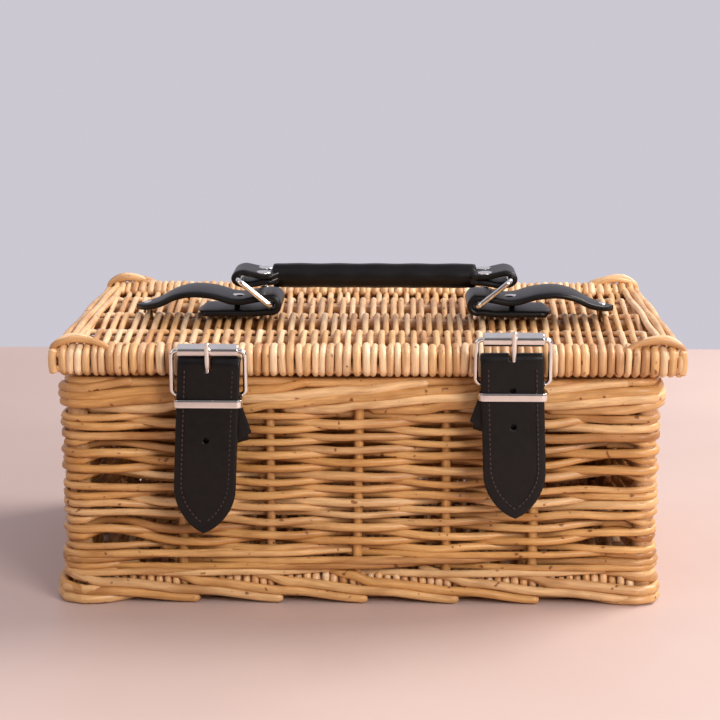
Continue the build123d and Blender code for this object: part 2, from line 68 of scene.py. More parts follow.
def high(node):
    return np.array(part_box(node)[1])


def span(node):
    """The low and high corners of a node's box, and its middle."""
    return low(node), high(node), (low(node) + high(node)) / 2


wall_low, wall_high = low("front_weave"), high("back_weave")
wall_half = (high("front_weave")[1] - wall_low[1]) / 2
weave_bottom, weave_top = wall_low[2], wall_high[2]
border_low, border_high = low("top_border"), high("top_border")
lid_low = np.minimum(low("lid_front_edge"), low("lid_corner_ties"))
lid_high = high("lid_back_edge")
lid_front, lid_back = lid_low[1], lid_high[1]
lid_left, lid_right = low("lid_front_edge")[0], high("lid_front_edge")[0]
lid_bottom, lid_top = low("lid_front_edge")[2], high("lid_front_edge")[2]
panel_bottom, panel_top = low("lid_weave")[2], high("lid_weave")[2]
panel_middle = (panel_bottom + panel_top) / 2


# -------------------- rods, and bundles of them

def path(x, y, z):
    """Points from three coordinates, each one number or a number for each point."""
    return np.stack(np.broadcast_arrays(x, y, z), -1)


def smooth_path(points, per=6):
    """A Catmull-Rom line through the points, with per steps between each two."""
    p = np.asarray(points, float)
    p = np.vstack([2 * p[0] - p[1], p, 2 * p[-1] - p[-2]])
    t = np.linspace(0, 1, per, endpoint=False)[:, None]
    parts = []
    for a, b, c, d in zip(p[:-3], p[1:-2], p[2:-1], p[3:]):
        parts.append(0.5 * (2 * b + (c - a) * t + (2 * a - 5 * b + 4 * c - d) * t**2
                            + (3 * b - a - 3 * c + d) * t**3))
    return np.vstack(parts + [p[-2][None]])


def frames_along(points, reference):
    """Unit tangents, and two unit normals that turn as little as possible along the line."""
    tangent = np.gradient(points, axis=0)
    tangent /= np.linalg.norm(tangent, axis=1)[:, None] + 1e-12
    normal = np.empty_like(points)
    n = np.asarray(reference, float)
    for i, t in enumerate(tangent):
        n = n - t * (n @ t)
        length = math.sqrt(n @ n)
        if length < 1e-6:
            n = np.array([t[1], t[2], t[0]])
            n = n - t * (n @ t)
            length = math.sqrt(n @ n)
        n = n / length
        normal[i] = n
    return tangent, normal, np.cross(tangent, normal)


class Bundle:
    """Swept pieces gathered into one mesh. Each keeps a tint and its own coordinates."""

    def __init__(self):
        self.verts, self.quads, self.tris, self.coords, self.count = [], [], [], [], 0

    def sweep(self, points, sections, tint, reference=(0, 0, 1)):
        """sections: (rings, sides, 2) offsets along the two normals at each point. The ends are closed."""
        rings, sides = sections.shape[:2]
        tangent, one, two = frames_along(points, reference)
        ring = points[:, None] + sections[:, :, :1] * one[:, None] + sections[:, :, 1:] * two[:, None]
        steps = np.linalg.norm(np.diff(points, axis=0), axis=1)
        along = np.concatenate([[0], np.cumsum(steps)]) + tint * 7
        around = np.linalg.norm(np.diff(np.vstack([sections[0], sections[0][:1]]), axis=0), axis=1)
        around = np.concatenate([[0], np.cumsum(around)])[:sides]
        around = np.minimum(around, around[-1] - around)
        coords = np.stack(np.broadcast_arrays(along[:, None], around[None], tint), axis=-1)
        base = self.count
        self.verts.append(ring.reshape(-1, 3))
        self.coords.append(coords.reshape(-1, 3))
        index = base + np.arange(rings * sides).reshape(rings, sides)
        beside = np.roll(index, -1, axis=1)
        self.quads.append(np.stack([index[:-1], beside[:-1], beside[1:], index[1:]], -1).reshape(-1, 4))
        self.count += rings * sides
        for end, order in ((0, 1), (rings - 1, -1)):
            centre = ring[end].mean(axis=0) - order * tangent[end] * abs(sections[end]).max() * 0.25
            self.verts.append(centre[None])
            self.coords.append(coords[end].mean(axis=0)[None])
            self.tris.append(path(self.count, beside[end], index[end])[:, ::order])
            self.count += 1

    def rod(self, points, radius, sides=8, reference=(0, 0, 1), tint=None):
        """A round rod. radius is a number, or one for each point; its ends are rounded off.

        Its tint is drawn at random where none is given."""
        points = np.asarray(points, float)
        tint = pick.random() if tint is None else tint
        radius = np.broadcast_to(np.asarray(radius, float), len(points)).copy()
        for end, beside in ((0, 1), (-1, -2)):
            step = points[beside] - points[end]
            reach = min(0.8 * radius[end] / (np.linalg.norm(step) + 1e-9), 0.6)
            spot = 1 if end == 0 else len(points) - 1
            points = np.insert(points, spot, points[end] + step * reach, axis=0)
            radius = np.insert(radius, spot, radius[end])
            radius[end] *= 0.55
        turn = np.arange(sides) * 2 * math.pi / sides
        circle = np.stack([np.cos(turn), np.sin(turn)], -1)
        self.sweep(points, radius[:, None, None] * circle[None], tint, reference)

    def build(self, name, material, body, replaces=(), slot=None):
        """Make the mesh, and say what body it rides on and which nodes it replaces. slot is not used."""
        mesh = bpy.data.meshes.new(name)
        verts, quads, tris = (np.vstack(rows) for rows in (self.verts, self.quads, self.tris))
        mesh.vertices.add(len(verts))
        mesh.vertices.foreach_set("co", verts.ravel())
        corners = np.concatenate([quads.ravel(), tris.ravel()])
        mesh.loops.add(len(corners))
        mesh.loops.foreach_set("vertex_index", corners.astype(np.int32))
        starts = np.concatenate([np.arange(len(quads)) * 4, len(quads) * 4 + np.arange(len(tris)) * 3])
        mesh.polygons.add(len(starts))
        mesh.polygons.foreach_set("loop_start", starts.astype(np.int32))
        mesh.polygons.foreach_set("use_smooth", np.full(len(starts), True))
        mesh.update(calc_edges=True)
        attribute = mesh.attributes.new("rod", "FLOAT_VECTOR", "POINT")
        attribute.data.foreach_set("vector", np.vstack(self.coords).ravel().astype(np.float32))
        mesh.validate()
        obj = bpy.data.objects.new(name, mesh)
        bpy.context.scene.collection.objects.link(obj)
        mesh.materials.append(material)
        if body:
            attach(obj, body)
        if replaces:
            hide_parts(*replaces)
        return obj


def strip_section(width, thickness, dome):
    """A flat strip's outline with rounded edges: offsets across it and through it.

    dome is how far the two edges bend away from the middle."""
    half, thick = width / 2, thickness / 2
    r = min(0.45 * thickness, half * 0.9)
    bend = np.linspace(0, math.pi / 2, 4)
    flat = np.linspace(-half + r, half - r, 8)
    top = [(x, thick) for x in flat]
    right = [(half - r + r * math.sin(b), thick - r + r * math.cos(b)) for b in bend[1:]]
    low_right = [(half - r + r * math.cos(b), -thick + r - r * math.sin(b)) for b in bend]
    bottom = [(x, -thick) for x in flat[::-1][1:]]
    low_left = [(-half + r - r * math.sin(b), -thick + r - r * math.cos(b)) for b in bend[1:]]
    left = [(-half + r - r * math.cos(b), thick - r + r * math.sin(b)) for b in bend[:-1]]
    outline = np.array(top + right + low_right + bottom + low_left + left)
    outline[:, 1] -= dome * (outline[:, 0] / half) ** 2
    return outline


def add_strip(bundle, points, widths, thickness, across, dome=0.0):
    """A leather strip along the points; across is the direction of its width."""
    rows = zip(*(np.broadcast_to(v, len(points)) for v in (widths, dome)))
    sections = np.stack([strip_section(max(width, 0.4 * mm), thickness, bend) for width, bend in rows])
    bundle.sweep(points, sections, even_tint, across)


# -------------------- materials

def new_material(name, roughness, metallic=0.0):
    material = bpy.data.materials.new(name)
    material.use_nodes = True
    nodes, links = material.node_tree.nodes, material.node_tree.links
    shader = nodes["Principled BSDF"]
    shader.inputs["Roughness"].default_value = roughness
    shader.inputs["Metallic"].default_value = metallic
    return material, nodes, links, shader


def ramp(nodes, stops):
    node = nodes.new("ShaderNodeValToRGB")
    elements = node.color_ramp.elements
    while len(elements) < len(stops):
        elements.new(0.5)
    for element, (position, colour) in zip(elements, stops):
        element.position = position
        element.color = (*colour, 1)
    return node


def noise_over(nodes, links, place, scale, detail):
    """Smooth noise over the places given."""
    noise = nodes.new("ShaderNodeTexNoise")
    noise.inputs["Scale"].default_value = scale
    noise.inputs["Detail"].default_value = detail
    links.new(place, noise.inputs["Vector"])
    return noise.outputs["Fac"]


def stretched_noise(nodes, links, source, stretch, detail):
    """Noise over the rod's own coordinates, stretched along it."""
    mapping = nodes.new("ShaderNodeMapping")
    mapping.inputs["Scale"].default_value = stretch
    links.new(source, mapping.inputs["Vector"])
    return noise_over(nodes, links, mapping.outputs["Vector"], 1.0, detail)


def tone_of(nodes, links, value, stops):
    """A value turned into a colour by a ramp."""
    tone = ramp(nodes, stops)
    links.new(value, tone.inputs["Fac"])
    return tone.outputs["Color"]


def multiply(nodes, links, a, b):
    """One colour multiplied by another."""
    node = nodes.new("ShaderNodeMix")
    node.data_type = "RGBA"
    node.blend_type = "MULTIPLY"
    node.inputs["Factor"].default_value = 1.0
    links.new(a, node.inputs["A"])
    links.new(b, node.inputs["B"])
    return node.outputs["Result"]


def add_bump(nodes, links, shader, height, strength, distance):
    """Fine relief in the surface's shading."""
    bump = nodes.new("ShaderNodeBump")
    bump.inputs["Strength"].default_value = strength
    bump.inputs["Distance"].default_value = distance
    links.new(height, bump.inputs["Height"])
    links.new(bump.outputs["Normal"], shader.inputs["Normal"])


def willow(name, colours, roughness):
    """Peeled willow: a tint for each rod, grain along it, darker blotches and small knots."""
    material, nodes, links, shader = new_material(name, roughness)
    attribute = nodes.new("ShaderNodeAttribute")
    attribute.attribute_name = "rod"
    source = attribute.outputs["Vector"]
    split = nodes.new("ShaderNodeSeparateXYZ")
    links.new(source, split.inputs["Vector"])
    tints = [(i / (len(colours) - 1), c) for i, c in enumerate(colours)]
    colour = tone_of(nodes, links, split.outputs["Z"], tints)
    grain = stretched_noise(nodes, links, source, (90, 1500, 40), 3.0)
    blotch = stretched_noise(nodes, links, source, (35, 130, 30), 2.0)
    speck = stretched_noise(nodes, links, source, (260, 420, 60), 1.0)
    white = (1, 1, 1)
    for noise, stops in (
            (grain, [(0.3, (0.80, 0.76, 0.70)), (0.7, (1.12, 1.12, 1.12))]),
            (blotch, [(0.28, (0.72, 0.60, 0.48)), (0.48, white), (0.75, (1.12, 1.14, 1.16))]),
            (speck, [(0.0, white), (0.70, white), (0.76, (0.38, 0.24, 0.15))])):
        colour = multiply(nodes, links, colour, tone_of(nodes, links, noise, stops))
    links.new(colour, shader.inputs["Base Color"])
    add_bump(nodes, links, shader, grain, 0.35, 0.3 * mm)
    return material


def patchy(name, colour, roughness, metallic, scale, detail, dark, light):
    """A material with darker and lighter patches; dark and light are (position, share of the colour)."""
    material, nodes, links, shader = new_material(name, roughness, metallic)
    place = nodes.new("ShaderNodeTexCoord").outputs["Object"]
    patches = noise_over(nodes, links, place, scale, detail)
    stops = [(position, tuple(share * c for c in colour)) for position, share in (dark, light)]
    links.new(tone_of(nodes, links, patches, stops), shader.inputs["Base Color"])
    return material, nodes, links, shader, place, patches


def leather(name, colour, roughness):
    """Creased leather with fine pores."""
    material, nodes, links, shader, place, creases = patchy(
        name, colour, roughness, 0.0, 260, 5, (0.35, 0.75), (0.7, 1.35))
    shader.inputs["Specular IOR Level"].default_value = 0.26
    pores = nodes.new("ShaderNodeTexVoronoi")
    pores.inputs["Scale"].default_value = 1400
    links.new(place, pores.inputs["Vector"])
    height = nodes.new("ShaderNodeMath")
    height.operation = "ADD"
    links.new(pores.outputs["Distance"], height.inputs[0])
    links.new(creases, height.inputs[1])
    add_bump(nodes, links, shader, height.outputs["Value"], 0.25, 0.12 * mm)
    return material


def metal(name, colour, roughness):
    """Metal with faint smudges."""
    return patchy(name, colour, roughness, 1.0, 180, 2.0, (0.3, 0.9), (0.7, 1.0))[0]


def plain(name, colour, roughness, grain=220):
    """A matte material with faint darker and lighter patches."""
    return patchy(name, colour, roughness, 0.0, grain, 4, (0.35, 0.93), (0.65, 1.04))[0]


wall_willow = willow("wall_willow", [
    (0.66, 0.36, 0.13), (0.56, 0.27, 0.08), (0.72, 0.42, 0.18), (0.44, 0.20, 0.06), (0.78, 0.50, 0.25),
    (0.60, 0.31, 0.10)], 0.38)
lid_willow = willow("lid_willow", [
    (0.80, 0.50, 0.25), (0.70, 0.40, 0.17), (0.86, 0.58, 0.34), (0.52, 0.26, 0.10), (0.90, 0.66, 0.42),
    (0.66, 0.36, 0.15)], 0.38)
stick_willow = willow("stick_willow", [(0.56, 0.31, 0.14), (0.42, 0.22, 0.10), (0.64, 0.38, 0.19)], 0.42)
black_leather = leather("black_leather", (0.0045, 0.0034, 0.0034), 0.36)
thread = plain("thread", (0.030, 0.012, 0.009), 0.5)
nickel = metal("nickel", (0.86, 0.83, 0.79), 0.10)
rope = plain("rope", (0.55, 0.5, 0.4), 0.8)


# -------------------- the ring that the walls follow

class WallRing:
    """The middle line of the four walls. s runs from the front left corner, to the right and round."""

    def __init__(self, corner=5 * mm):
        self.corner = corner
        x0, x1 = wall_low[0] + wall_half, wall_high[0] - wall_half
        y0, y1 = wall_low[1] + wall_half, wall_high[1] - wall_half
        self.runs = []
        total = 0.0
        plans = [((x0, y0), (1, 0), (0, -1), x1 - x0), ((x1, y0), (0, 1), (1, 0), y1 - y0),
                 ((x1, y1), (-1, 0), (0, 1), x1 - x0), ((x0, y1), (0, -1), (-1, 0), y1 - y0)]
        for start, along, out, length in plans:
            along, out = np.array(along, float), np.array(out, float)
            self.runs.append((total, start + corner * along, along, out, length - 2 * corner))
            total += length - 2 * corner + corner * math.pi / 2
        self.total = total

    def bulge(self, s, amount):
        """How much further out a rod goes at s, where it rounds a corner, most at the left corners."""
        reach = 22 * mm
        result = np.zeros_like(s)
        for index, share in enumerate((1.0, 0.1, 0.1, 1.0)):
            away = np.mod(s - self.corner_s(index) + self.total / 2, self.total) - self.total / 2
            result += share * amount * np.exp(-((away / reach) ** 2))
        return result

    def corner_s(self, index):
        """s at the middle of the corner that starts side index."""
        return self.runs[index % 4][0] - self.corner * math.pi / 4 + (self.total if index >= 4 else 0)

    def stakes(self):
        """s of each stake and corner, in order, with the name of what stands there."""
        found = []
        for index, (begin, *_, length) in enumerate(self.runs):
            found.append((self.corner_s(index), "corner"))
            middle = begin + length / 2
            if index in (0, 2):
                shift = stake_shift if index == 0 else -stake_shift
                steps = (-2, -1, 0, 1, 2)
            else:
                shift, steps = 0.0, (-1.5, -0.5, 0.5, 1.5)
            found += [(middle + shift + stake_pitch * step, "stake") for step in steps]
        return found

    def place(self, s, out_by, z):
        """Points at s along the ring, out_by outside it, at height z."""
        s, out_by, z = (np.atleast_1d(np.asarray(v, float)) for v in np.broadcast_arrays(s, out_by, z))
        s = np.mod(s, self.total)
        result = np.empty((len(s), 3))
        result[:, 2] = z
        for begin, start, along, out, length in self.runs:
            on = (s >= begin) & (s < begin + length)
            result[on, :2] = start + (s[on] - begin)[:, None] * along + out_by[on][:, None] * out
            end = begin + length
            on = (s >= end) & (s < end + self.corner * math.pi / 2)
            turn = (s[on] - end) / self.corner
            centre = start + length * along - self.corner * out
            arm = (self.corner + out_by[on])[:, None]
            result[on, :2] = centre + arm * (np.cos(turn)[:, None] * out + np.sin(turn)[:, None] * along)
        return result


stake_pitch = 44.5 * mm
stake_shift = -1.5 * mm
ring = WallRing()
stakes = ring.stakes()
stake_count = len(stakes)
corners = [s for s, kind in stakes if kind == "corner"]


def stake_at(index):
    """s and kind of stake index, counted on round the basket."""
    turns, place = divmod(index, stake_count)
    s, kind = stakes[place]
    return s + turns * ring.total, kind


def ease(x, xs, values):
    """Values eased between the points xs, with no overshoot."""
    x, xs, values = np.asarray(x), np.asarray(xs), np.asarray(values)
    i = np.clip(np.searchsorted(xs, x) - 1, 0, len(xs) - 2)
    t = np.clip((x - xs[i]) / (xs[i + 1] - xs[i]), 0, 1)
    return values[i] + (values[i + 1] - values[i]) * (t * t * (3 - 2 * t))


def ring_rod(bundle, s_points, outs, heights, radius, sides=8, taper=0.0, bulge=0.0):
    """A rod along the walls through (s, out, height) points. It never goes below the floor."""
    count = max(4, int((s_points[-1] - s_points[0]) / (3.5 * mm)))
    s = np.linspace(s_points[0], s_points[-1], count)
    thick = radius * np.linspace(1 + taper, 1 - taper, count)
    height = np.maximum(ease(s, s_points, heights), thick + 0.25 * mm)
    points = ring.place(s, ease(s, s_points, outs) + ring.bulge(s, bulge), height)
    bundle.rod(points, thick, sides)


# -------------------- body weave

row_pitch = 3.45 * mm
row_radius = 2.08 * mm
row_out = wall_half - row_radius
back_from = 60 * mm          # behind this, rods are thicker by back_share, to close the back wall's gaps
back_share = 1.36


def build_wall_weave():
    """Rows of rods, over and under the stakes and round the corner posts."""
    bundle = Bundle()
    rows = int(round((weave_top - weave_bottom) / row_pitch))
    pitch = (weave_top - weave_bottom) / rows
    outside = [r for r in range(rows) if r % 4 != 3]
    corner_pitch = (weave_top - weave_bottom) / len(outside)
    post_room = 13 * mm
    for row in range(rows):
        level = weave_bottom + (row + 0.5) * pitch
        wraps = row in outside
        corner_level = weave_bottom + (outside.index(row) + 0.5) * corner_pitch if wraps else level
        short = row % 3 == 1
        s_list, outs, levels = [], [], []
        for index, (s, kind) in enumerate(stakes):
            wobble = pick.uniform(-0.55, 0.55) * mm
            if kind == "corner":
                out = row_out if wraps else -row_out
                at_front = ring.place(np.array([s]), np.zeros(1), np.zeros(1))[0][1] < 0
                dive = row_out if wraps and not (short and at_front) else -row_out
                drop = 0.0 if dive > 0 else 2.2 * mm
                s_list += [s - post_room, s, s + post_room]
                outs += [dive, out, dive]
                dip = corner_level + drop + wobble / 2
                levels += [dip, corner_level, dip]
            else:
                s_list.append(s)
                outs.append(row_out if (row + index) % 2 == 0 else -row_out)
                levels.append(level + wobble)
        s_list = [s - ring.total for s in s_list] + s_list + [s + ring.total for s in s_list]
        outs, levels = outs * 3, levels * 3
        inside = [s for s, out in zip(s_list, outs) if out < 0 and 0 <= s < ring.total]
        breaks = sorted(pick.sample(inside, 3))
        for first, last in zip(breaks, breaks[1:] + [breaks[0] + ring.total]):
            radius = row_radius * pick.uniform(0.88, 1.1)
            reach = pick.uniform(6, 14) * mm
            count = int((last - first + 2 * reach) / (3.2 * mm))
            s = np.linspace(first - reach, last + reach, count)
            out = ease(s, s_list, outs) + ring.bulge(s, 1.9 * mm)
            points = ring.place(s, out, ease(s, s_list, levels))
            knots = [pick.uniform(-0.8, 0.8) * mm for _ in range(count // 7 + 2)]
            points[:, 2] += ease(np.arange(count), np.arange(len(knots)) * 7, knots)
            share = np.where(points[:, 1] > back_from, back_share, 1.0)
            thick = radius * np.linspace(1.12, 0.88, count) * share
            bundle.rod(points, thick, 10)
    bundle.build("wall_weave", wall_willow, "basket",
                 ("front_weave", "back_weave", "left_weave", "right_weave"), "wicker")


def build_lower_wale():
    """Four tight rows that go over two stakes and under one."""
    bundle = Bundle()
    bottom, top = low("lower_wale")[2], high("lower_wale")[2]
    rows = 4
    pitch = (top - bottom) / rows
    radius = pitch / 2 + 0.25 * mm
    for row in range(rows):
        level = bottom + (row + 0.5) * pitch + 0.4 * mm
        for first in range(row % 3, stake_count + row % 3, 3):
            s0, s1, s2, s3 = (stake_at(first + step)[0] for step in range(4))
            over = row_out + 0.9 * mm
            outs = [-row_out * 0.6, over, over, -row_out * 0.6]
            rise = pick.uniform(0.6, 1.5) * mm
            ring_rod(bundle, [s0 - 6 * mm, s1, s2, s3 + 6 * mm], outs,
                     [level - rise, level - rise / 4, level + rise / 3, level + rise],
                     radius * pick.uniform(0.92, 1.08), taper=0.05, sides=10, bulge=2.6 * mm)
        for corner in corners:
            ring_rod(bundle, [corner + away * mm for away in (-30, -12, 0, 12, 30)],
                     [-row_out, row_out * 0.7, row_out + 0.6 * mm, row_out * 0.7, -row_out],
                     [level] * 5, radius, sides=10, bulge=2.6 * mm)
    bundle.build("lower_wale_rods", wall_willow, "basket", ("lower_wale",), "wicker")


def build_foot_border():
    """Rods that come out between the stakes, slope down to the right and end at the floor."""
    bundle = Bundle()
    radius = 2.5 * mm
    out = wall_half + 2.3 * mm - radius
    top = high("foot_border")[2]
    for index in range(stake_count):
        s0, s1, s2 = (stake_at(index + step)[0] for step in range(3))
        start = s0 + pick.uniform(-6, 0) * mm
        end = s2 + pick.uniform(1, 8) * mm
        thick = radius * pick.uniform(0.92, 1.12)
        heights = [top + 3.4 * mm, top + 0.6 * mm, top - 3.0 * mm, thick + 4.4 * mm, thick + 0.15 * mm]
        ring_rod(bundle, [start - 12 * mm, start, start + 14 * mm, s1 + 8 * mm, end],
                 [-1.5 * mm, out - 3.2 * mm, out - 0.8 * mm, out, out - 0.2 * mm],
                 heights, thick, taper=0.07, sides=12, bulge=3.6 * mm)
        ring_rod(bundle, [s0 - 8 * mm, s1 + 8 * mm], [-3.6 * mm, -3.6 * mm],
                 [thick + 0.3 * mm, thick + 1.0 * mm], thick, sides=8)
    for corner in corners:
        for height, reach in ((2.6 * mm, 34 * mm), (7.6 * mm, 24 * mm)):
            ring_rod(bundle, [corner - reach, corner - reach / 3, corner, corner + reach / 3, corner + reach],
                     [-3 * mm, out - 0.4 * mm, out + 0.1 * mm, out - 0.4 * mm, -3 * mm],
                     [height] * 5, radius, sides=12, bulge=3.8 * mm)
    bundle.build("foot_border_rods", wall_willow, "basket", ("foot_border",), "wicker")


def build_top_border():
    """Thick rods laid one above another, each rising to the right over three stakes."""
    bundle = Bundle()
    radius = 2.75 * mm
    out = wall_half + 3 * mm - radius
    bottom, top = border_low[2], border_high[2]
    for index in range(stake_count):
        spots = [stake_at(index + step)[0] for step in range(5)]
        thick = radius * pick.uniform(0.88, 1.06)
        end = spots[4] - pick.uniform(8, 24) * mm
        heights = np.linspace(bottom + 1.8 * mm, top - thick - 0.2 * mm, 5)
        ring_rod(bundle, [spots[0] + 6 * mm, spots[1] - 12 * mm, spots[1], spots[2], spots[3], end],
                 [-1.0 * mm, out - 2.2 * mm, out - 0.8 * mm, out, out - 0.3 * mm, out - 2.8 * mm],
                 [heights[0], heights[0] + 1 * mm, *heights[1:]],
                 thick, taper=0.08, sides=12)
    for depth, inset, thick in ((3.0, 2.4, 2.6), (3.2, -1.8, 2.6), (8, -3.4, 2.4), (13, -3.4, 2.4),
                                (8, 1.6, 2.4), (13, 1.6, 2.4)):
        height = top - depth * mm
        s = np.arange(0, ring.total + 6 * mm, 4 * mm)
        points = ring.place(s, inset * mm, height + 0.5 * mm * np.sin(s * 61 + height * 900))
        points[:, 2] = np.minimum(points[:, 2], top - thick * mm)
        bundle.rod(points, thick * mm, 10)
    bundle.build("top_border_rods", wall_willow, "basket", ("top_border",), "wicker")


def build_uprights():
    """The stakes of the four walls, and the thicker posts at the corners."""
    bundle = Bundle()
    for s, kind in stakes:
        if kind == "corner":
            continue
        lean = pick.uniform(-0.8, 0.8) * mm
        heights = np.linspace(low("side_stakes")[2], border_high[2] - 5 * mm, 26)
        points = ring.place(s + lean * np.linspace(-1, 1, 26), 0, heights)
        bundle.rod(points, 2.45 * mm * pick.uniform(0.95, 1.08), 10, (1, 0, 0))
    bundle.build("stake_rods", wall_willow, "basket", ("side_stakes",), "cane")

    posts = Bundle()
    for index in range(4):
        heights = np.linspace(0.6 * mm, border_high[2] - 6 * mm, 30)
        points = ring.place(ring.corner_s(index), -0.8 * mm, heights)
        posts.rod(points, 5.4 * mm, 14, (1, 0, 0))
    posts.build("corner_post_rods", stick_willow, "basket", ("corner_posts",), "cane")


def build_base():
    """Base sticks along X, weavers over and under them, and their turns at the edge."""
    sticks, weavers = Bundle(), Bundle()
    lo, hi, centre = span("base_weave")
    middle = centre[2]
    x0, x1 = lo[0] - 2 * mm, hi[0] + 2 * mm
    y0, y1 = wall_low[1] + 2.6 * mm, wall_high[1] - 2.6 * mm
    rows = np.linspace(y0 + 5 * mm, y1 - 5 * mm, 7)
    for y in rows:
        sticks.rod(path(np.linspace(x0, x1, 40), y, middle), 2.9 * mm)
    sticks.build("base_stick_rods", stick_willow, "basket", ("base_sticks",), "cane")
    x, number = x0 + 2 * mm, 0
    while x < x1 - 2 * mm:
        radius = pick.uniform(1.75, 2.1) * mm
        sign = 1 if number % 2 else -1
        points = [(x, y0 + 6 * mm, middle - sign * 3.6 * mm), (x, y0 + radius, middle - sign * 2 * mm),
                  (x, y0 + radius - 0.6 * mm, middle + sign * 1.5 * mm)]
        for i, y in enumerate(rows):
            side = sign if i % 2 == 0 else -sign
            points.append((x, y, middle + side * 3.6 * mm))
        last = sign if len(rows) % 2 else -sign
        points += [(x, y1 - radius + 0.6 * mm, middle + last * 1.5 * mm),
                   (x, y1 - radius, middle - last * 2 * mm), (x, y1 - 6 * mm, middle - last * 3.6 * mm)]
        weavers.rod(smooth_path(points, 4), radius, 8, (1, 0, 0))
        x += 2 * radius + pick.uniform(0.3, 0.9) * mm
        number += 1
    weavers.build("base_weave_rods", lid_willow, "basket", ("base_weave",), "wicker")


# -------------------- lid

lid_pairs = [lid_front + first * mm for first in (55, 105, 155)]
pair_gap = 5.4 * mm
lid_stick = 2.5 * mm
lid_long_edges = (("front", lid_front, 1), ("back", lid_back, -1))


def edge_wraps(bundle, edge, inward):
    """Rods wrapped round the sticks of one long edge of the lid; inward is +1 at the front."""
    x = lid_left + 5 * mm
    while x < lid_right - 4.5 * mm:
        radius = pick.choice((1.65, 1.8, 1.95, 2.1, 2.25)) * mm
        x += radius
        top, bottom = lid_top - radius + pick.uniform(-0.5, 0.3) * mm, lid_bottom + radius
        lean = pick.uniform(-1.3, 1.3) * mm
        tall = [(17, panel_middle + 2.5 * mm, 0.0), (11.5, top - 1.1 * mm, 0.1), (7, top, 0.3),
                (2.6, top - 1.7 * mm, 0.5), (0.3, panel_middle + 3.2 * mm, 0.6),
                (0.3, panel_middle - 3.0 * mm, 0.8), (2.3, bottom + 1.5 * mm, 0.9),
                (7, bottom, 1.0), (12, bottom + 1.3 * mm, 1.0), (17, panel_middle - 2.5 * mm, 1.0)]
        points = [(x + lean * (part - 0.5), edge + inward * (radius + back * mm), z)
                  for back, z, part in tall]
        bundle.rod(smooth_path(points, 4), radius, 10, (1, 0, 0))
        x += radius + pick.choice((0.0, 0.05, 0.1, 0.25, 0.6)) * mm


def lid_weaver_path(x, number, lean):
    """One weaver from the front edge to the back, over one pair of sticks and under the next."""
    lift = lid_stick + 1.75 * mm
    sign = 1 if number % 2 else -1
    points = [(x, lid_front + 9 * mm, panel_middle - sign * 2.5 * mm),
              (x, lid_front + 22 * mm, panel_middle - sign * 2.0 * mm)]
    for i, y in enumerate(lid_pairs):
        side = sign if i % 2 == 0 else -sign
        at = x + lean * (i + 1) / 4
        points += [(at, y - 19 * mm, panel_middle + side * 1.6 * mm),
                   (at, y - pair_gap / 2 - 1.5 * mm, panel_middle + side * lift * 0.94),
                   (at, y, panel_middle + side * (lift + 0.5 * mm)),
                   (at, y + pair_gap / 2 + 1.5 * mm, panel_middle + side * lift * 0.94),
                   (at, y + 19 * mm, panel_middle + side * 1.2 * mm)]
    last = sign if len(lid_pairs) % 2 else -sign
    points += [(x + lean, lid_back - 20 * mm, panel_middle - last * 2.0 * mm),
               (x + lean, lid_back - 9 * mm, panel_middle - last * 2.5 * mm)]
    return points


def build_lid_weave():
    """The lid's weavers, and the wraps along its front and back edges."""
    bundle = Bundle()
    x, number = lid_left + 9 * mm, 0
    while x < lid_right - 8 * mm:
        radius = pick.uniform(1.5, 1.8) * mm
        lean = pick.uniform(-1.2, 1.2) * mm
        points = smooth_path(lid_weaver_path(x, number, lean), 4)
        bundle.rod(points, radius, 8, (1, 0, 0))
        x += pick.uniform(2.6, 3.1) * mm
        number += 1
    bundle.build("lid_weave_rods", lid_willow, "lid", ("lid_weave",), "wicker")

    for name, edge, inward in lid_long_edges:
        wraps = Bundle()
        edge_wraps(wraps, edge, inward)
        wraps.build(f"lid_{name}_wraps", lid_willow, "lid", (f"lid_{name}_edge",), "wicker")


def build_lid_sticks():
    """Three pairs of sticks across the lid, and four rods inside each long edge."""
    bundle = Bundle()
    x = np.linspace(lid_left + 2.5 * mm, lid_right - 2.5 * mm, 60)
    for pair in lid_pairs:
        for side in (-1, 1):
            y = pair + side * pair_gap / 2 + 0.4 * mm * np.sin(x * 40 + pair * 90)
            bundle.rod(path(x, y, panel_middle), lid_stick * pick.uniform(0.95, 1.05))
    bundle.build("lid_stick_rods", lid_willow, "lid", ("lid_sticks",), "cane")

    for name, edge, inward in lid_long_edges:
        rods = Bundle()
        for depth, height in ((6.6, 3.6), (6.6, -3.6), (13.5, 3.0), (13.5, -3.0)):
            rods.rod(path(x, edge + inward * depth * mm, panel_middle + height * mm), 2.9 * mm)
        rods.build(f"lid_{name}_rods", lid_willow, "lid", (f"lid_{name}_rod",), "cane")


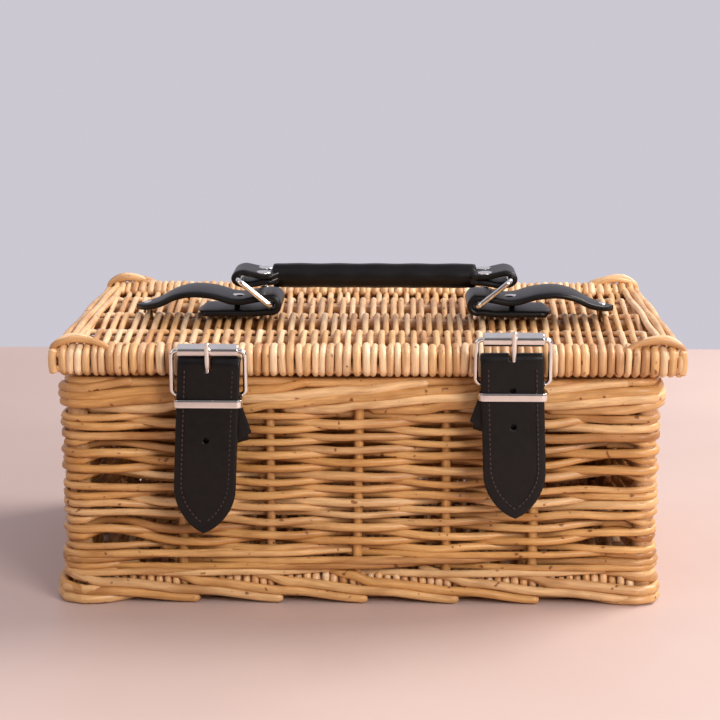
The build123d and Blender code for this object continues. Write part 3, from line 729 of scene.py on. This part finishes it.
def build_lid_sides():
    """Five rods from front to back along each side of the lid, and upright ones at their ends."""
    for name, edge, inward in (("left", lid_left, 1), ("right", lid_right, -1)):
        bundle = Bundle()
        for depth, height, radius in ((2.1, 3.2, 2.1), (2.3, -1.4, 2.1), (6.1, 4.6, 2.0), (5.8, -4.6, 1.9),
                                      (9.6, 4.2, 1.8)):
            y = np.linspace(lid_front + 1.5 * mm, lid_back - 1.5 * mm, 64)
            arch = np.sin((y - lid_front) / (lid_back - lid_front) * math.pi)
            near = [np.clip(1 - away / (7 * mm), 0, 1) ** 2 for away in (y - lid_front, lid_back - y)]
            drop = near[0] + near[1]
            x = edge + inward * (depth * mm + 0.5 * mm * np.sin(y * 80 + depth))
            z = panel_middle + height * mm + 0.9 * mm * arch - drop * 3 * mm * np.sign(height)
            bundle.rod(path(x, y, z), radius * mm, 10)
        for i in range(2):
            x_tip = edge + inward * (2.2 + 0.2 * i) * mm
            for y_edge, back in ((lid_front, 1), (lid_back, -1)):
                y = y_edge + back * (2.2 + i * 3.9) * mm
                z = np.linspace(lid_bottom + 2.4 * mm, lid_top - 2.4 * mm, 12)
                bulge = np.cos(np.linspace(-1.3, 1.3, 12)) * 0.9 * mm
                bundle.rod(path(x_tip - inward * (bulge - 0.9 * mm), y, z), 2.1 * mm, 10, (1, 0, 0))
        bundle.build(f"lid_{name}_rods", lid_willow, "lid", (f"lid_{name}_edge",), "wicker")


def build_corner_ties():
    """Three thin rods arched over the wraps at each corner of the lid."""
    bundle = Bundle()
    for edge_x, inward in ((lid_left, 1), (lid_right, -1)):
        for edge_y, back in ((lid_front, 1), (lid_back, -1)):
            for i, (inset, length, rise) in enumerate(((6.0, 29, 2.6), (9.2, 27, 2.2), (7.6, 24, 3.9))):
                y = edge_y + back * inset * mm
                spots = ((0.4, -6.5, 0), (0.9, -1.6, 0), (5.5, rise - 1.9, 0.2),
                         (length * 0.45, rise - 0.7, 0.6), (length * 0.8, rise - 2.6, 0.2),
                         (length, -3.6, -0.5), (length + 4, -7.5, -0.5))
                points = [(edge_x + inward * (out + 1.6) * mm, y + back * shift * mm, lid_top + up * mm)
                          for out, up, shift in spots]
                bundle.rod(smooth_path(points, 5), (1.75 - 0.1 * i) * mm, 10, (0, 1, 0))
    bundle.build("lid_corner_tie_rods", lid_willow, "lid", ("lid_corner_ties",), "wicker")


def build_hinge_loops():
    """Cane wound twice round the lid's back rod and the body's border."""
    bundle = Bundle()
    lo, hi, centre = span("hinge_loops")
    inset, wound = 1.3 * mm, 4.2 * math.pi
    radius = (hi[2] - lo[2]) / 2 - inset
    for x in (lo[0] + inset, hi[0] - inset):
        turn = np.linspace(0, wound, 90)
        spread = (turn / wound - 0.5) * 4.6 * mm
        points = path(x + spread, centre[1] + radius * np.cos(turn), centre[2] + radius * np.sin(turn))
        bundle.rod(points, 1.25 * mm, 10, (1, 0, 0))
    bundle.build("hinge_cane", stick_willow, "basket", ("hinge_loops",), "cane")


# -------------------- leather

def arch_tip(distance, length, width):
    """Width of a strap at a distance from its pointed end, over a rounded point of this length."""
    part = np.clip(distance / length, 0, 1)
    return width * (1 - (1 - part) ** 2) ** 0.72


def cut_holes(obj, centres, radius):
    """Round holes from front to back through a strap, as real openings."""
    cutters = []
    for centre in centres:
        bpy.ops.mesh.primitive_cylinder_add(vertices=28, radius=radius, depth=30 * mm, location=centre,
                                            rotation=(math.pi / 2, 0, 0))
        cutter = bpy.context.object
        modifier = obj.modifiers.new("hole", "BOOLEAN")
        modifier.object = cutter
        modifier.solver = "EXACT"
        cutters.append(cutter)
    bpy.context.view_layer.update()
    depsgraph = bpy.context.evaluated_depsgraph_get()
    cut = bpy.data.meshes.new_from_object(obj.evaluated_get(depsgraph))
    obj.modifiers.clear()
    obj.data = cut
    for cutter in cutters:
        bpy.data.objects.remove(cutter)


def stitch_line(bundle, points, pitch=2.45 * mm, length=1.6 * mm):
    """Short threads laid along a line on the leather's front face, with their ends sunk in it."""
    steps = np.concatenate([[0], np.cumsum(np.linalg.norm(np.diff(points, axis=0), axis=1))])
    for s in np.arange(pitch / 2, steps[-1] - length, pitch):
        t = np.linspace(s, s + length, 5)
        line = np.stack([np.interp(t, steps, points[:, i]) for i in range(3)], -1)
        line[:, 1] -= np.array([-0.35, 0.10, 0.20, 0.10, -0.35]) * mm
        bundle.rod(line, 0.48 * mm, 6, tint=even_tint)


# how far each strap's tip and its top sit to one side, how far its fold humps up, and its two holes
strap_settings = {"left": (-3.4 * mm, 0.7 * mm, 0.9 * mm, (107.5 * mm, 89.5 * mm)),
                  "right": (2.0 * mm, -0.9 * mm, 3.4 * mm, (114.9 * mm, 97.1 * mm))}
strap_point = 23.5 * mm


def build_strap(side):
    """A closing strap: out of the lid's edge, over a fold, and down to a pointed end."""
    lo, hi, middle = span(f"strap_{side}")
    centre, width, thick = middle[0], hi[0] - lo[0], 2.4 * mm
    front, tip = lo[1] + thick / 2, lo[2]
    tip_shift, top_shift, hump, hole_heights = strap_settings[side]
    tongue_z = hi[2] - thick / 2
    fold_z = tongue_z + hump
    bend = 2.4 * mm
    turn = np.linspace(0, math.pi / 2, 9)
    out_y = np.linspace(hi[1] - 1 * mm, front + bend, 14)
    rise = ease(out_y, [front + bend, lid_front + 1 * mm], [fold_z, tongue_z])
    fold = [(front + bend - bend * math.sin(t), fold_z - bend + bend * math.cos(t)) for t in turn[1:]]
    heights = np.concatenate([np.linspace(fold_z - bend, tip + 24 * mm, 40)[1:],
                              tip + 24 * mm * (1 - np.linspace(0, 1, 30)[1:]) ** 1.35])

    def sideways(z):
        return centre + top_shift + (tip_shift - top_shift) * np.clip((fold_z - z) / (fold_z - tip), 0, 1)

    def face(z):
        wave = 0.8 * mm * np.sin((fold_z - z) / (26 * mm)) * np.clip((105 * mm - z) / (20 * mm), 0, 1)
        return front - np.abs(wave)

    line = np.array(list(zip(out_y, rise)) + fold + [(face(z), z) for z in heights])
    points = path(sideways(line[:, 1]), line[:, 0], line[:, 1])
    widths = arch_tip(np.maximum(line[:, 1] - tip, 0.01 * mm), strap_point, width)
    bundle = Bundle()
    add_strip(bundle, points, widths, thick, (1, 0, 0))
    strap = bundle.build(f"strap_{side}_leather", black_leather, None)
    prong_z = high(f"buckle_roller_{side}")[2] - 12.4 * mm
    slot = [prong_z + step for step in (2 * mm, 4 * mm, 6 * mm)]
    holes = [(sideways(z), front, z) for z in (*hole_heights, prong_z, *slot)]
    cut_holes(strap, holes, 1.5 * mm)
    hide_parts(f"strap_{side}")
    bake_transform(strap)

    threads = Bundle()
    inset = 3.7 * mm
    below = heights[heights < fold_z - bend - 1.5 * mm]
    for edge in (-1, 1):
        z = below[below > tip + inset * 1.3]
        inner = arch_tip(np.maximum(z - tip - inset * 0.9, 0), strap_point, width) / 2 - inset
        stitch_line(threads, path(sideways(z) + edge * np.maximum(inner, 0), face(z) - thick / 2, z))
    stitches = threads.build(f"strap_{side}_stitches", thread, None, (), "leather")
    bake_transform(stitches)


def build_chape(side):
    """Two layers of leather from the buckle's heel bar down behind the strap, splayed and skewed."""
    lo, hi, middle = span(f"buckle_chape_{side}")
    heel = low(f"buckle_frame_{side}")[2] + 1.25 * mm
    heel_y = lo[1] + 3 * mm
    skew = 1 if side == "left" else -1
    thick = 1.65 * mm
    r = 2.2 * mm
    around = [(heel_y - r * math.cos(t), heel + r * math.sin(t)) for t in np.linspace(0, math.pi, 13)]
    front_tail = [(heel_y - r, z) for z in np.linspace(hi[2] - 26 * mm, heel, 12)[:-1]]
    back_layer = [(heel_y + r, z) for z in np.linspace(heel, heel - 14 * mm, 10)[1:]]
    back_tail = [(heel_y + r + (1 - math.cos(t)) * 1.9 * mm, heel - 14 * mm - 12 * mm * math.sin(t))
                 for t in np.linspace(0, 1.5, 8)[1:]]
    bundle = Bundle()
    line = np.array(front_tail + around + back_layer + back_tail)
    drop = np.clip(heel - 3 * mm - line[:, 1], 0, None)
    lean = np.where(np.arange(len(line)) < len(front_tail), 0.34, 0.2)
    points = path(middle[0] + skew * (1.5 * mm + drop * lean), line[:, 0], line[:, 1])
    add_strip(bundle, points, 27 * mm, thick, (1, 0, 0))
    bundle.build(f"buckle_chape_{side}_leather", black_leather, "basket",
                 (f"buckle_chape_{side}",), "leather")


def build_grip():
    """The padded grip: leather rolled round a core, with the flap's edge along the top."""
    lo, hi, middle = span("grip_cover")
    radius = (hi[2] - lo[2]) / 2
    bundle = Bundle()
    x = np.concatenate([[lo[0], lo[0] + 0.5 * mm], np.linspace(lo[0] + 2 * mm, hi[0] - 2 * mm, 44),
                        [hi[0] - 0.5 * mm, hi[0]]])
    sides = 56
    turn = np.arange(sides) * 2 * math.pi / sides
    flap_edge = 1.15 * mm
    flap = flap_edge * (np.arange(sides) / (sides - 1)) ** 3
    start = math.radians(36)
    sections = []
    for value in x:
        near_end = min(value - lo[0], hi[0] - value)
        trim = -0.7 * mm * max(0, 1 - near_end / (1.2 * mm)) ** 2
        wave = 0.12 * mm * math.sin(value * 300)
        r = radius - flap_edge + flap + trim + wave
        sections.append(np.stack([r * np.cos(turn + start), r * np.sin(turn + start)], -1))
    bundle.sweep(path(x, middle[1], middle[2]), np.array(sections), even_tint)
    bundle.build("grip_leather", black_leather, "handle", ("grip_cover",), "leather")

    core = Bundle()
    core_lo, core_hi = low("grip_core"), high("grip_core")
    x = np.linspace(core_lo[0] + 0.5 * mm, core_hi[0] - 0.5 * mm, 60)
    wind = 2.4 * mm
    for strand in range(3):
        angle = x * 260 + strand * 2 * math.pi / 3
        points = path(x, middle[1] + wind * np.cos(angle), middle[2] + wind * np.sin(angle))
        core.rod(points, 2.5 * mm, 10, tint=even_tint)
    core.build("grip_core_strands", rope, "handle", ("grip_core",), "rope")


handle_x = span("grip_cover")[2][0]


def build_handle_loop(side):
    """The handle's end: a strap doubled at the rivets and open round the ring."""
    sign = -1 if side == "left" else 1
    lo, hi, middle = span(f"handle_loop_{side}")
    outer = abs((lo[0] if sign < 0 else hi[0]) - handle_x)
    thick = 3.1 * mm
    height = 4.8 * mm - thick / 2
    loop_x = outer - 9.0 * mm
    reach = 6.6 * mm - thick / 2
    neck = 3.0 * mm - thick / 2
    turn = np.linspace(math.radians(95), math.radians(-95), 26)
    arc = [(loop_x + reach * math.cos(t), 0.5 * mm + height * math.sin(t)) for t in turn]
    top = [(loop_x - 24 * mm, neck), (loop_x - 19 * mm, neck), (loop_x - 13 * mm, neck),
           (loop_x - 9 * mm, neck + 0.4 * mm), (loop_x - 4 * mm, neck + 1.5 * mm)]
    line = smooth_path(top + arc + [(x, -z) for x, z in top[::-1]], 2)
    points = path(handle_x + sign * line[:, 0], middle[1], middle[2] + line[:, 1])
    bundle = Bundle()
    taper = np.interp(line[:, 0], [loop_x - 19 * mm, loop_x - 17.6 * mm], [9, 28]) * mm
    add_strip(bundle, points, taper, thick, (0, 1, 0))
    bundle.build(f"handle_loop_{side}_leather", black_leather, "handle", (f"handle_loop_{side}",), "leather")


def build_tab(side):
    """The tab on the lid: folded round the ring's low bar, riveted, arched, and pointed at its tip."""
    sign = -1 if side == "left" else 1
    lo, hi, middle = span(f"handle_tab_{side}")
    ring_lo, ring_hi = low(f"handle_ring_{side}"), high(f"handle_ring_{side}")
    wire, cap = 1.5 * mm, 1.2 * mm
    bar_x = abs((ring_hi[0] - wire if sign < 0 else ring_lo[0] + wire) - handle_x)
    bar_z = ring_lo[2] + wire
    thick, wide = 3.2 * mm, 33 * mm
    r = bar_z - lo[2] - thick / 2
    base = panel_top + thick / 2 + 0.6 * mm
    tip = abs((lo[0] if sign < 0 else hi[0]) - handle_x)
    turn = np.linspace(math.radians(-85), math.radians(-275), 16)
    fold = [(bar_x + r * math.cos(t), bar_z + r * math.sin(t)) for t in turn]
    lower = [(bar_x + x * mm, base) for x in (37, 28, 18, 9)] + [(bar_x + 4 * mm, bar_z - r)]
    seat = high("tab_rivets")[2] - cap - thick / 2
    tip_seat = high("tab_tip_rivets")[2] - cap - thick / 2
    arch = ((11, 1.6), (16.5, 0.6), (22, 1.1), (28.5, 3.6), (34.5, 5.2), (40.5, 5.8),
            (46.5, 5.4), (53.5, 3.4))
    upper = [(bar_x + 5 * mm, bar_z + r - 0.3 * mm)]
    upper += [(bar_x + x * mm, seat + z * mm) for x, z in arch]
    upper += [(bar_x + 61 * mm, tip_seat + 3.2 * mm), (tip - 6 * mm, tip_seat + 0.5 * mm),
              (tip, tip_seat - 0.4 * mm)]
    line = smooth_path(lower + fold + upper, 3)
    points = path(handle_x + sign * line[:, 0], middle[1], line[:, 1])
    after = np.arange(len(line)) > len(line) * 0.4
    widths = np.where(after, arch_tip(np.maximum(tip - line[:, 0], 0.01 * mm), 30 * mm, wide), wide)
    bulge = np.clip((line[:, 0] - bar_x - 20 * mm) / (16 * mm), 0, 1) * np.where(after, 1, 0)
    dome = sign * 1.2 * mm * bulge * (widths / wide) ** 2
    bundle = Bundle()
    add_strip(bundle, points, widths, thick, (0, 1, 0), dome=dome)
    bundle.build(f"handle_tab_{side}_leather", black_leather, "lid", (f"handle_tab_{side}",), "leather")


# -------------------- metal, stage, camera, light

def build_keeper(side):
    """A band of half-round wire bent round the strap and the chape."""
    lo, hi, centre = span(f"keeper_{side}")
    thick, tall, corner = 1.7 * mm, hi[2] - lo[2], 2.2 * mm
    half_x, half_y = (hi[0] - lo[0]) / 2 - 0.5 * mm, (hi[1] - lo[1]) / 2 - 0.5 * mm
    plan = [(0.5 * mm, half_y)]
    for x_sign, y_sign, first in ((1, 1, 90), (1, -1, 0), (-1, -1, -90), (-1, 1, -180)):
        for degrees in np.linspace(first, first - 90, 8):
            t = math.radians(degrees)
            plan.append((x_sign * (half_x - corner) + corner * math.cos(t),
                         y_sign * (half_y - corner) + corner * math.sin(t)))
        if (x_sign, y_sign) == (1, -1):
            plan += [(x, -half_y) for x in np.linspace(half_x - corner, corner - half_x, 14)[1:-1]]
    plan.append((-0.5 * mm, half_y))
    points = centre + np.array([(x, y, 0.0) for x, y in plan])
    bow = np.linspace(-math.pi / 2, math.pi / 2, 11)
    crown = [(tall / 2 * math.sin(t), thick * (math.cos(t) - 0.45)) for t in bow]
    flat = [(tall / 2 * part, -0.5 * thick) for part in (0.9, 0.3, -0.3, -0.9)]
    section = np.array(crown + flat)
    bundle = Bundle()
    bundle.sweep(points, np.repeat(section[None], len(points), axis=0), even_tint)
    bundle.build(f"keeper_{side}_band", nickel, f"keeper_{side}", (f"keeper_{side}",), "nickel")


def build_rivets(node, body, radius, heads=(1,)):
    """Rivets with domed caps on their shanks, at the corners of the node's box."""
    lo, hi = low(node), high(node)
    cap, shank, edge = 1.2 * mm, 1.6 * mm, 0.3 * mm
    dome = [(max(radius * math.cos(t), 0.02 * mm), edge + (cap - edge) * math.sin(t))
            for t in np.linspace(0, math.pi / 2, 9)]
    top = [(shank, hi[2] - cap - 0.02 * mm), (radius, hi[2] - cap)] + [(r, hi[2] - cap + z) for r, z in dome]
    if -1 in heads:
        bottom = [(r, lo[2] + cap - z) for r, z in dome[::-1]]
        bottom += [(radius, lo[2] + cap), (shank, lo[2] + cap + 0.02 * mm)]
    else:
        bottom = [(0.02 * mm, lo[2]), (shank - 0.1 * mm, lo[2] + 0.01 * mm), (shank, lo[2] + 0.1 * mm)]
    profile = np.array(bottom + top)
    turn = np.linspace(0, 2 * math.pi, 28, endpoint=False)
    circle = np.stack([np.cos(turn), np.sin(turn)], -1)
    bundle = Bundle()
    for x in (lo[0] + radius, hi[0] - radius):
        for y in {round(lo[1] + radius, 6), round(hi[1] - radius, 6)}:
            bundle.sweep(path(x, y, profile[:, 1]), circle[None] * profile[:, :1, None], even_tint, (1, 0, 0))
    bundle.build(f"{node}_domed", nickel, body, (node,), "nickel")


def finish_cad_nodes():
    """The metal pieces that nothing replaces keep their CAD shape and take the nickel finish."""
    slots = {row["node"]: row["material_slot"] for row in frame["record"]["subparts"]}
    for node, obj in frame["nodes"].items():
        if slots[node] == "nickel":
            for slot in obj.material_slots:
                slot.material = nickel


def build_stage():
    """A pale floor. It ends a little way behind the basket, where the pale surroundings begin."""
    size, back_edge = 8.0, 0.573
    bpy.ops.mesh.primitive_plane_add(size=size, location=(0, back_edge - size / 2, 0))
    floor = bpy.context.object
    floor.name = "floor"
    floor.data.materials.append(plain("floor_paint", (0.60, 0.45, 0.40), 0.55, 3))


def add_light(name, place, target, size, watts, colour):
    """A rectangular lamp turned towards its target."""
    data = bpy.data.lights.new(name, "AREA")
    data.shape = "RECTANGLE"
    data.size, data.size_y = size
    data.energy = watts
    data.color = colour
    lamp = bpy.data.objects.new(name, data)
    bpy.context.scene.collection.objects.link(lamp)
    lamp.location = place
    aim = np.array(target) - np.array(place)
    lamp.rotation_euler = (math.atan2(math.hypot(aim[0], aim[1]), -aim[2]), 0, math.atan2(-aim[0], aim[1]))


def build_surroundings():
    """Pale surroundings behind and above the basket, darker in front of it."""
    world = bpy.data.worlds.new("studio")
    bpy.context.scene.world = world
    world.use_nodes = True
    nodes, links = world.node_tree.nodes, world.node_tree.links
    direction = nodes.new("ShaderNodeSeparateXYZ")
    links.new(nodes.new("ShaderNodeTexCoord").outputs["Generated"], direction.inputs["Vector"])
    parts = []
    for axis, start, end in (("Y", -0.1, 0.4), ("Z", 0.45, 0.75)):
        span = nodes.new("ShaderNodeMapRange")
        span.inputs["From Min"].default_value = start
        span.inputs["From Max"].default_value = end
        links.new(direction.outputs[axis], span.inputs["Value"])
        parts.append(span)
    most = nodes.new("ShaderNodeMath")
    most.operation = "MAXIMUM"
    links.new(parts[0].outputs["Result"], most.inputs[0])
    links.new(parts[1].outputs["Result"], most.inputs[1])
    tone = ramp(nodes, [(0.0, (0.15, 0.14, 0.14)), (1.0, (0.60, 0.58, 0.65))])
    links.new(most.outputs["Value"], tone.inputs["Fac"])
    links.new(tone.outputs["Color"], nodes["Background"].inputs["Color"])
    nodes["Background"].inputs["Strength"].default_value = 1.0


def light_scene():
    build_surroundings()
    add_light("window", (1.2, 0.5, 1.35), (0, 0, 0.05), (0.9, 0.8), 33, (1.0, 0.97, 0.93))
    add_light("front", (1.0, -1.35, 0.85), (0, 0, 0.07), (0.8, 0.7), 23, (1.0, 0.96, 0.92))
    add_light("fill", (-1.5, -0.9, 0.8), (0, 0, 0.08), (0.9, 0.9), 4, (1.0, 0.97, 0.94))
    bpy.context.scene.view_settings.view_transform = "Standard"


def add_camera():
    data = bpy.data.cameras.new("camera")
    data.sensor_width = 36
    data.lens = 95.415
    camera = bpy.data.objects.new("camera", data)
    bpy.context.scene.collection.objects.link(camera)
    camera.location = (16.1 * mm, -1023.6 * mm, 318.8 * mm)
    downward, leftward = 0.20328, 0.01944
    camera.rotation_euler = (math.pi / 2 - downward, 0, leftward)
    bpy.context.scene.camera = camera


add_camera()
build_wall_weave()
build_lower_wale()
build_foot_border()
build_top_border()
build_uprights()
build_base()
build_lid_weave()
build_lid_sticks()
build_lid_sides()
build_corner_ties()
build_hinge_loops()
for name in ("left", "right"):
    build_strap(name)
    build_chape(name)
    build_keeper(name)
    build_handle_loop(name)
    build_tab(name)
build_grip()
build_rivets("tab_rivets", "lid", 4.5 * mm)
build_rivets("tab_tip_rivets", "lid", 3.2 * mm)
build_rivets("handle_rivets", "handle", 4.5 * mm, (-1, 1))
finish_cad_nodes()
build_stage()
light_scene()
